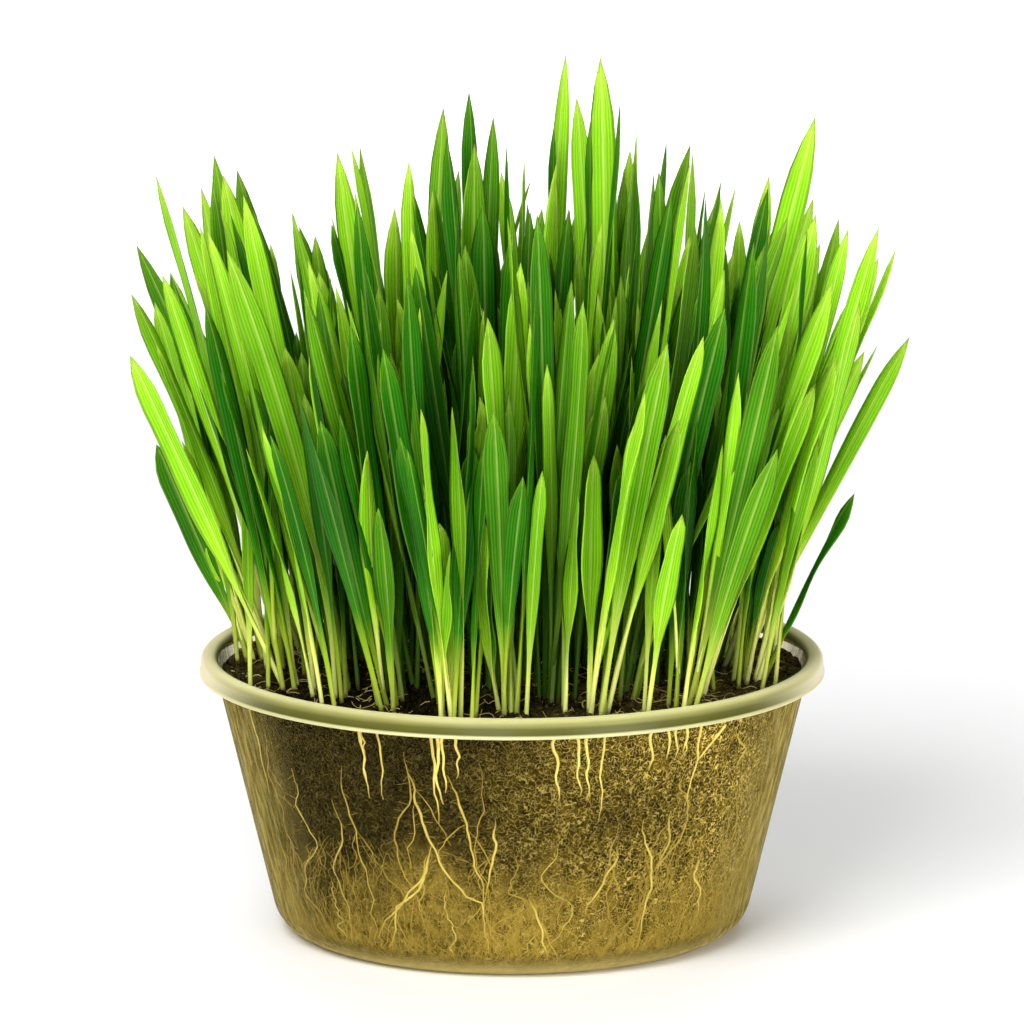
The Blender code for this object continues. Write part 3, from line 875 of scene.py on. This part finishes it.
def make_plug():
    side = inset_profile(PLUG_INSET, SOIL_EDGE_Z, steps=8)
    low, high = side[-2], side[-1]
    steps = shares(PLUG_RINGS)[1:]
    wall = [(mix(low[0], high[0], share), mix(low[1], high[1], share)) for share in steps]
    top = [(high[0] * (1 - share), SOIL_EDGE_Z) for share in steps]
    bm = spun([*side[:-1], *wall, *top], PLUG_SIDES)
    for vert in bm.verts:
        co = vert.co
        out = Vector((co.x, co.y, 0.0))
        if co.z > SOIL_EDGE_Z - 0.01 * MM:
            co.z = plug_height(co.x, co.y)
        elif out.length > FLAT_RADIUS:
            vert.co = co + out.normalized() * (SIDE_DENTS * noise.noise(co * 420.0))
    mesh = mesh_of(bm, "soil_plug")
    mesh.shade_smooth()
    mesh.materials.append(soil_finish)
    return piece_of("soil_plug", mesh)


plug = make_plug()
print("soil_plug", len(plug.data.polygons), "faces")

# %% [markdown]
# Loose crumbs lie on the soil. Distribute Points on Faces scatters them, Instance on Points
# puts a 20-faced ball on each, with a random size and turn, and after the copies are made
# real a little noise pushes their corners about, so that no two have the same shape.

# %% The crumb tree
FULL_TURN = 6.28


def make_crumb_tree(finish):
    tree, sizes = new_tree(
        "soil_crumbs", Density=150000.0, Smallest=0.35 * MM, Largest=1.5 * MM, Seed=3
    )
    seed = {"Seed": sizes["Seed"]}
    feeds = {"Mesh": sizes["Geometry"], "Density": sizes["Density"], **seed}
    points = add(tree, "GeometryNodeDistributePointsOnFaces", feeds, "Points")
    ball = add(tree, "GeometryNodeMeshIcoSphere", {"Radius": 1.0, "Subdivisions": 1})
    draw = add(tree, "FunctionNodeRandomValue", {2: 0.0, 3: 1.0, **seed}, 1)
    turns = {1: (FULL_TURN, FULL_TURN, FULL_TURN), **seed}
    turn = add(tree, "FunctionNodeRandomValue", turns, data_type="FLOAT_VECTOR")
    size = mix(sizes["Smallest"], sizes["Largest"], draw**3.0)
    feeds = {"Points": points, "Instance": ball, "Rotation": turn, "Scale": size}
    copies = add(tree, "GeometryNodeInstanceOnPoints", feeds)
    real = add(tree, "GeometryNodeRealizeInstances", {"Geometry": copies})
    wobble = add(tree, "ShaderNodeTexNoise", {"Scale": 900.0, "Detail": 1.0}, "Color")
    push = wobble.plus((-0.5, -0.5, -0.5)).scaled(1.3 * MM)
    real = add(tree, "GeometryNodeSetPosition", {"Geometry": real, "Offset": push})
    close_tree(tree, real, finish)
    return tree


crumb_tree = make_crumb_tree(soil_finish)

# %% [markdown]
# The crumbs need faces to be scattered on. The plug itself has far more faces than this
# takes, so they get a coarse disc of their own that follows the soil's surface.

# %% Soil crumbs
PATCH_REACH = wall_radius(SOIL_EDGE_Z, PLUG_INSET) - 0.8 * MM
PATCH_LIFT = 0.25 * MM


def top_patch(name):
    bm = bmesh.new()
    bmesh.ops.create_circle(bm, cap_ends=False, segments=40, radius=PATCH_REACH)
    rings = [bm.verts[:]]
    for share in (0.75, 0.5, 0.25):
        rings.append([bm.verts.new(vert.co * share) for vert in rings[0]])
    for outer, inner in zip(rings, rings[1:]):
        for i in range(len(outer)):
            j = (i + 1) % len(outer)
            bm.faces.new((outer[i], outer[j], inner[j], inner[i]))
    bm.faces.new(rings[-1])
    for vert in bm.verts:
        vert.co.z = soil_height(vert.co.x, vert.co.y) + PATCH_LIFT
    return mesh_of(bm, name)


crumbs = grow("soil_crumbs", top_patch("crumb_patch"), crumb_tree)

# %% [markdown]
# Roots. Where the wall shows the soil's side, pale roots wander down between the two. Each is
# a thin round thread that fades in and out of the felt. A bevelled curve would do, but the
# lines of the blades already have a helper, so one more small tree turns such lines into
# tapered tubes. Each point carries its radius and, as "tint", how pale the root is there.

# %% Root material and the tube tree
def make_root_material():
    made, tree, shader = new_material("roots")
    colour = ramp(
        attribute(tree, "tint"),
        (0.0, (0.30, 0.215, 0.045)), (0.5, (0.52, 0.415, 0.125)), (1.0, (0.92, 0.86, 0.42)),
    )
    cloud = speckle(object_point(tree), 350.0)
    feed(shader, {"Base Color": shaded(colour, cloud * 0.6 + 0.7), "Roughness": 0.65})
    bump(shader, cloud, 0.2, 0.1 * MM)
    return made


def make_tube_tree(finish):
    tree, sizes = new_tree("tubes", Sides=5)
    line = add(tree, "GeometryNodeMeshToCurve", {"Mesh": sizes["Geometry"]})
    line, held = capture(tree, line, tint=named(tree, "tint"))
    feeds = {"Resolution": sizes["Sides"], "Radius": 1.0}
    circle = add(tree, "GeometryNodeCurvePrimitiveCircle", feeds)
    feeds = {"Curve": line, "Profile Curve": circle, "Scale": named(tree, "radius")}
    tube = add(tree, "GeometryNodeCurveToMesh", feeds | {"Fill Caps": True})
    close_tree(tree, store(tree, tube, tint=held["tint"]), finish)
    return tree


tube_tree = make_tube_tree(make_root_material())

# %% [markdown]
# The way of each root is found in code, because side roots must start on their parent's
# line. A way is a list of angles and heights on the wall. Most of them start at a random
# angle and drift with noise as their height falls. In front, where the eye looks first, the
# way goes through a few given places instead.

# %% Ways of the roots on the wall
ROOT_INSET = 1.35 * MM
LOWEST_ROOT = 2.6 * MM
FINEST_ROOT = 0.06 * MM
SIDE_ROOT_STEPS = 9
SIDE_ROOT_SWAY = 0.06
FRONT_STEP = 1.6  # millimetres of height between the points of a root in front
FRONT_SWAY = 1.1 * MM


def smoothstep(x):
    x = min(max(x, 0.0), 1.0)
    return x * x * (3 - 2 * x)


def wall_point(angle, z, inset):
    radius = wall_radius(z, inset)
    return Vector((radius * math.cos(angle), radius * math.sin(angle), z))


def wander(angle, top, drop, steps, swing, seed):
    """A root that winds down the wall."""
    way = []
    for share in shares(steps):
        sway = noise.noise(Vector((seed, share * 3.2, 0.0)))
        sway += 0.35 * noise.noise(Vector((seed, share * 11, 4)))
        way.append((angle + swing * sway * min(share * 3, 1.0), max(top - drop * share, LOWEST_ROOT)))
    return way


def branch_of(way, rng):
    """A side root that leaves its parent's line and drifts off downwards."""
    angle, z = way[rng.randrange(2, len(way) - 4)]
    side = rng.choice((-1, 1))
    drop = rng.uniform(6, 20) * MM
    reach = side * rng.uniform(0.04, 0.16)
    seed = rng.uniform(0, 90)
    line = []
    for share in shares(SIDE_ROOT_STEPS):
        sway = SIDE_ROOT_SWAY * noise.noise(Vector((seed, share * 4, 0))) * share
        line.append((angle + reach * share**0.7 + sway, max(z - drop * share, LOWEST_ROOT)))
    return line


def front_root(places, rng):
    """A root through (x, z) places, in millimetres, as they are seen on the front wall."""
    way, seed = [], rng.uniform(0, 90)
    for (x0, z0), (x1, z1) in zip(places, places[1:]):
        steps = max(round(abs(z1 - z0) / FRONT_STEP), 2)
        for share in shares(steps)[:-1]:
            x, z = mix(x0, x1, share) * MM, mix(z0, z1, share) * MM
            x += FRONT_SWAY * noise.noise(Vector((z * 260, seed, 0)))
            way.append((-math.acos(x / wall_radius(z, ROOT_INSET)), z))
    return way


def laid_on_wall(way, thick, thin, tint, inset=ROOT_INSET, blunt=False):
    """A root as a line for line_mesh. It fades in from its upper end unless that is blunt."""
    radii, tints = [], []
    for share in shares(len(way) - 1):
        rises = 1.0 if blunt else smoothstep(0.25 + 2.5 * share)
        radii.append(max(mix(thick, thin, share) * rises, FINEST_ROOT))
        tints.append(tint * mix(0.35, 1.0, min(rises, smoothstep(0.15 + 3 * (1 - share)))))
    points = [wall_point(angle, z, inset + radius * 0.3) for (angle, z), radius in zip(way, radii)]
    return points, {"radius": radii, "tint": tints}


print("roots lie", round(ROOT_INSET / MM, 2), "mm in from the tub's outside")

# %% [markdown]
# The front roots' places are in millimetres from the axis and from the foot. They follow the
# strongest strands that the real tub shows. The other main roots stand evenly round the tub,
# and nearly all have side roots. Last, very short hairs stand off each root, which gives it
# the downy edge of a living root.

# %% Roots on the wall
MAIN_ROOTS = 58
BRANCHING_WAY = 9  # a front root with fewer points has no side roots
SIDE_ROOT_END = 0.07 * MM
FUZZ_PER_STEP = 1
FUZZ_RADIUS = 0.045 * MM
FRONT_ROOTS = (
    ((-25, 54), (-22.5, 43), (-19, 34.5), (-16, 28), (-11, 21), (-7, 19.5), (-6, 11), (-5, 5)),
    ((-19, 34.5), (-20, 27), (-25, 19.5), (-30, 13), (-32, 6.5)),
    ((-20, 31), (-22, 22), (-27, 17), (-28, 8), (-30, 4)),
    ((-15, 52), (-12, 44.5), (-10, 35), (-8.5, 29), (-6.5, 22), (-7, 17)),
    ((-4.5, 41), (-3.5, 35), (-5, 28), (-6.5, 20.5)),
    ((4, 21), (7.5, 11), (8.5, 3)),
    ((31, 39.5), (31.5, 33), (33, 29), (33, 24), (32, 17.5), (31, 14), (30, 7), (29, 3.5)),
    ((37.5, 40.5), (37, 34), (36, 28.5), (33, 24)),
    ((25, 33), (24.5, 30), (21.5, 23.5), (18, 18.5), (17, 14)),
    ((45, 27), (43.5, 22.5), (44.5, 16.5), (43.5, 9)),
    ((53, 58), (55, 52), (52.5, 46)),
)


def side_roots(way, count, thick, tints, rng):
    sides = [(branch_of(way, rng), rng.uniform(*tints)) for _ in range(count)]
    return [laid_on_wall(side, thick, SIDE_ROOT_END, tint) for side, tint in sides]


def main_root(k, rng):
    """The way of one of the roots that stand evenly round the tub."""
    angle = (k + rng.uniform(-0.45, 0.45)) * math.tau / MAIN_ROOTS
    top = rng.uniform(20, 58) * MM
    drop = min(rng.uniform(18, 55) * MM, top - LOWEST_ROOT)
    swing, seed = rng.uniform(0.06, 0.16), rng.uniform(0, 90)
    return wander(angle, top, drop, steps=26, swing=swing, seed=seed)


def wall_roots(rng):
    lines = []
    for places in FRONT_ROOTS:
        way = front_root(places, rng)
        lines.append(laid_on_wall(way, 0.42 * MM, 0.20 * MM, rng.uniform(0.6, 0.85)))
        if len(way) >= BRANCHING_WAY:
            lines += side_roots(way, 2, 0.2 * MM, (0.3, 0.6), rng)
    for k in range(MAIN_ROOTS):
        way = main_root(k, rng)
        thick = rng.uniform(0.16, 0.30) * MM
        lines.append(laid_on_wall(way, thick, 0.12 * MM, rng.uniform(0.15, 0.8)))
        lines += side_roots(way, rng.randint(1, 3), thick * 0.6, (0.05, 0.6), rng)
    return lines


def hair(point, tint, rng):
    """One very short hair that stands off a root along the wall."""
    angle = math.atan2(point.y, point.x)
    turn, rise = rng.gauss(0, 1.1) * MM / FOOT_RADIUS, rng.gauss(-0.4, 0.9) * MM
    way = [(angle + turn * k / 2, max(point.z + rise * k / 2, LOWEST_ROOT)) for k in range(3)]
    points = [wall_point(a, z, ROOT_INSET - 0.08 * MM * k) for k, (a, z) in enumerate(way)]
    return points, {"radius": [FUZZ_RADIUS] * 3, "tint": [tint * 0.7] * 3}


def hair_fuzz(lines, rng):
    bases = [base for points, values in lines for base in list(zip(points, values["tint"]))[1:-1]]
    return [hair(point, tint, rng) for point, tint in bases for _ in range(FUZZ_PER_STEP)]


root_rng = random.Random(SEED + 2)
root_lines = wall_roots(root_rng)
print(len(root_lines), "roots and side roots")
root_lines += hair_fuzz(root_lines, root_rng)
roots = grow("wall_roots", line_mesh("root_lines", root_lines), tube_tree)

# %% [markdown]
# Towards the foot the fine roots mat together. A picture of felt would look flat there, so a
# loose web of short hair roots, laid on the wall and round the corner with many random
# directions, gives that golden felt real depth.

# %% The web of hair roots at the foot
WEB_HAIRS = 2600
WEB_STEPS = 5
WEB_SWAY = 0.03


def web_hair(rng):
    angle = rng.uniform(0, math.tau)
    clump = 0.5 + 0.5 * noise.noise(Vector((math.cos(angle), math.sin(angle), 0.3)) * 2.2)
    top = LOWEST_ROOT + rng.random() ** 1.4 * mix(14, 40, clump) * MM
    turn = rng.gauss(0, 0.06)
    drop = rng.uniform(2, 12) * MM
    seed = rng.uniform(0, 90)
    way = []
    for share in shares(WEB_STEPS):
        sway = WEB_SWAY * noise.noise(Vector((seed, share * 3, 0)))
        height = min(max(top - drop * share, LOWEST_ROOT), SOIL_EDGE_Z)
        way.append((angle + turn * share + sway, height))
    tint, inset = rng.uniform(0.0, 0.5), rng.uniform(1.22, 1.45) * MM
    return laid_on_wall(way, 0.11 * MM, 0.06 * MM, tint, inset)


web_rng = random.Random(SEED + 3)
web_lines = [web_hair(web_rng) for _ in range(WEB_HAIRS)]
web = grow("root_web", line_mesh("web_lines", web_lines), tube_tree, Sides=3)

# %% [markdown]
# Just under the rim the pale feet of the outermost shoots show through the wall as light
# upright streaks, some of which run on down as roots. They are thicker roots with a blunt
# upper end. Those in front have given places, and the others stand below the bunches near
# the wall, so their angles are taken from those bunches.

# %% Pale feet behind the wall
NEAR_WALL = 55 * MM
FEET_TOP = SOIL_EDGE_Z - 0.5 * MM
FRONT_FEET = (
    ((-18, 62), (-17.5, 52), (-16, 43)), ((-16.5, 62), (-16, 52), (-15.5, 46)),
    ((10, 62), (10.5, 52), (11.5, 44)), ((15.5, 62), (15.5, 53), (16, 45)),
    ((18, 62), (17.5, 54), (17.5, 44)), ((33, 62), (33, 55), (31.5, 50)),
    ((36.5, 62), (37, 56), (36, 52)), ((38.5, 62), (39, 56), (38, 52)),
    ((41, 62), (40.5, 57), (40, 53)), ((50, 60), (46, 55), (42, 50)),
)


def pale_foot(centre, rng):
    angle = centre + rng.uniform(-0.07, 0.07)
    drop, seed = rng.uniform(7, 24) * MM, rng.uniform(0, 90)
    way = wander(angle, FEET_TOP, drop, steps=12, swing=0.02, seed=seed)
    thick, tint = rng.uniform(0.34, 0.5) * MM, rng.uniform(0.8, 1.0)
    return laid_on_wall(way, thick, 0.12 * MM, tint, blunt=True)


def pale_feet(rng):
    lines = []
    for places in FRONT_FEET:
        lines.append(laid_on_wall(front_root(places, rng), 0.48 * MM, 0.2 * MM, 1.0, blunt=True))
    for bunch in bunches.values():
        middle = sum((blade.foot for blade in bunch), Vector()) / len(bunch)
        if math.hypot(middle.x, middle.y) >= NEAR_WALL:
            centre = math.atan2(middle.y, middle.x)
            lines += [pale_foot(centre, rng) for _ in range(rng.randint(1, 4))]
    return lines


feet_lines = pale_feet(random.Random(SEED + 4))
feet = grow("pale_feet", line_mesh("feet_lines", feet_lines), tube_tree)

# %% [markdown]
# Short brown fibres lie curled on the soil between the stems, like the bits of bark and coir
# in potting mix. They use the same tubes, with only three sides because they are so thin.
# Each turns by the same angle at every step, so it curls.

# %% Fibres on the soil
FIBRES = 420
FIBRE_FIELD = 66 * MM
FIBRE_POINTS = 8


def soil_fibre(rng):
    radius = FIBRE_FIELD * math.sqrt(rng.random())
    start = rng.uniform(0, math.tau)
    x, y = radius * math.cos(start), radius * math.sin(start)
    heading = rng.uniform(0, math.tau)
    curl = rng.uniform(-1, 1) * 0.5
    step = rng.uniform(0.5, 1.5) * MM
    points = []
    for i in range(FIBRE_POINTS):
        points.append(Vector((x, y, soil_height(x, y) + (0.7 + 0.5 * math.sin(i)) * MM)))
        x += step * math.cos(heading)
        y += step * math.sin(heading)
        heading += curl
    tint = rng.uniform(0.0, 0.7)
    return points, {"radius": [0.12 * MM] * FIBRE_POINTS, "tint": [tint] * FIBRE_POINTS}


def on_soil(line):
    return all(math.hypot(point.x, point.y) < SOIL_RADIUS for point in line[0])


fibre_rng = random.Random(SEED + 5)
fibre_lines = [line for line in [soil_fibre(fibre_rng) for _ in range(FIBRES)] if on_soil(line)]
fibres = grow("soil_fibres", line_mesh("fibre_lines", fibre_lines), tube_tree, Sides=3)

# %% [markdown]
# The blades replace the 54 bunches, the plug replaces the soil, the roots replace the root
# mat, and the spun moulding replaces the tub, so those solids are hidden. There are no joints,
# so everything rides on the one body.

# %% Hang the pieces on the frame
REPLACED = {
    main_leaves: BUNCH_NAMES,
    tub: ["tub"],
    plug: ["soil"],
    roots: ["root_mat"],
}
SLOTS = {
    main_leaves: "wheat_leaf", young_leaves: "wheat_leaf", late_leaves: "wheat_leaf",
    tub: "clear_plastic", plug: "potting_soil", crumbs: "potting_soil",
    roots: "roots", web: "roots", feet: "roots", fibres: "roots",
}
for piece, slot in SLOTS.items():
    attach(piece, "root")
for piece, nodes in REPLACED.items():
    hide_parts(*nodes)
print(len(SLOTS), "pieces")

# %% [markdown]
# The stage. In the picture the pot stands on plain white with almost no shadow. A floor that
# runs back without an edge does that from every side, if its far part glows a little by
# itself: near the pot it takes the shadow, and far away it stays white.

# %% Floor
GLOW_STARTS = 0.6  # metres from the pot
GLOW_FULL = 1.3
WHITE = (1.0, 1.0, 1.0, 1.0)


def make_floor():
    mesh = bpy.data.meshes.new("floor")
    mesh.from_pydata([(-6, -6, 0), (6, -6, 0), (6, 6, 0), (-6, 6, 0)], [], [(0, 1, 2, 3)])
    made, tree, shader = new_material("floor")
    cloud = speckle(object_point(tree), 2.0)
    colour = ramp(cloud, (0.0, (0.93, 0.93, 0.93)), (1.0, (0.96, 0.96, 0.96)))
    glow = object_point(tree).length().ease(GLOW_STARTS, GLOW_FULL)
    feed(shader, {"Base Color": colour, "Roughness": 0.9})
    feed(shader, {"Emission Color": WHITE, "Emission Strength": glow})
    mesh.materials.append(made)
    return piece_of("floor", mesh)


floor = make_floor()
print("floor", [round(v, 1) for v in floor.dimensions], "m")

# %% [markdown]
# Light and camera. A large soft lamp stands at the upper left in front, a low one shows the
# soil and the roots behind the wall, a weaker one lifts the right side, and one more lights
# the floor at the back. The camera looks down by the angle read from the rim's ellipse, from
# far away with a long lens, because the photograph shows the ellipses of the rim and the
# foot with the same roundness.

# %% Light and camera
ELEVATION = math.radians(11.9)
DISTANCE = 3.0
VIEW_HEIGHT = 0.245
SENSOR = 36.0
AIM = Vector((0.0, 0.0, 0.1015))
SKY_STRENGTH = 0.16
LAMPS = (  # name, place, size, power and what it points at
    ("key", (-0.42, -0.92, 1.05), 0.85, 21.0, AIM),
    ("front", (-0.20, -1.40, 0.22), 0.5, 6.0, AIM),
    ("fill", (0.75, -0.95, 0.28), 0.6, 8.5, AIM),
    ("backdrop", (0.0, 1.4, 1.6), 1.8, 28.0, Vector((0.0, 1.2, 0.0))),
)


def placed(name, data, place, aim):
    item = piece_of(name, data)
    item.location = place
    item.rotation_euler = (aim - item.location).to_track_quat("-Z", "Y").to_euler()
    return item


def add_lamp(name, place, size, power, aim):
    data = bpy.data.lights.new(name, "AREA")
    data.shape = "SQUARE"
    data.size = size
    data.energy = power
    placed(name, data, place, aim)


def add_camera():
    data = bpy.data.cameras.new("camera")
    data.sensor_width = SENSOR
    data.lens = SENSOR * DISTANCE / VIEW_HEIGHT
    data.clip_end = 50
    back = Vector((0.0, -math.cos(ELEVATION), math.sin(ELEVATION)))
    bpy.context.scene.camera = placed("camera", data, AIM + back * DISTANCE, AIM)


def add_sky():
    world = bpy.data.worlds.new("sky")
    world.use_nodes = True
    sky = world.node_tree.nodes["Background"]
    feed(sky, {"Color": WHITE, "Strength": SKY_STRENGTH})
    bpy.context.scene.world = world


for lamp in LAMPS:
    add_lamp(*lamp)
add_sky()
add_camera()
bpy.context.scene.view_settings.view_transform = "Standard"
print("camera", [round(v, 3) for v in bpy.context.scene.camera.location])
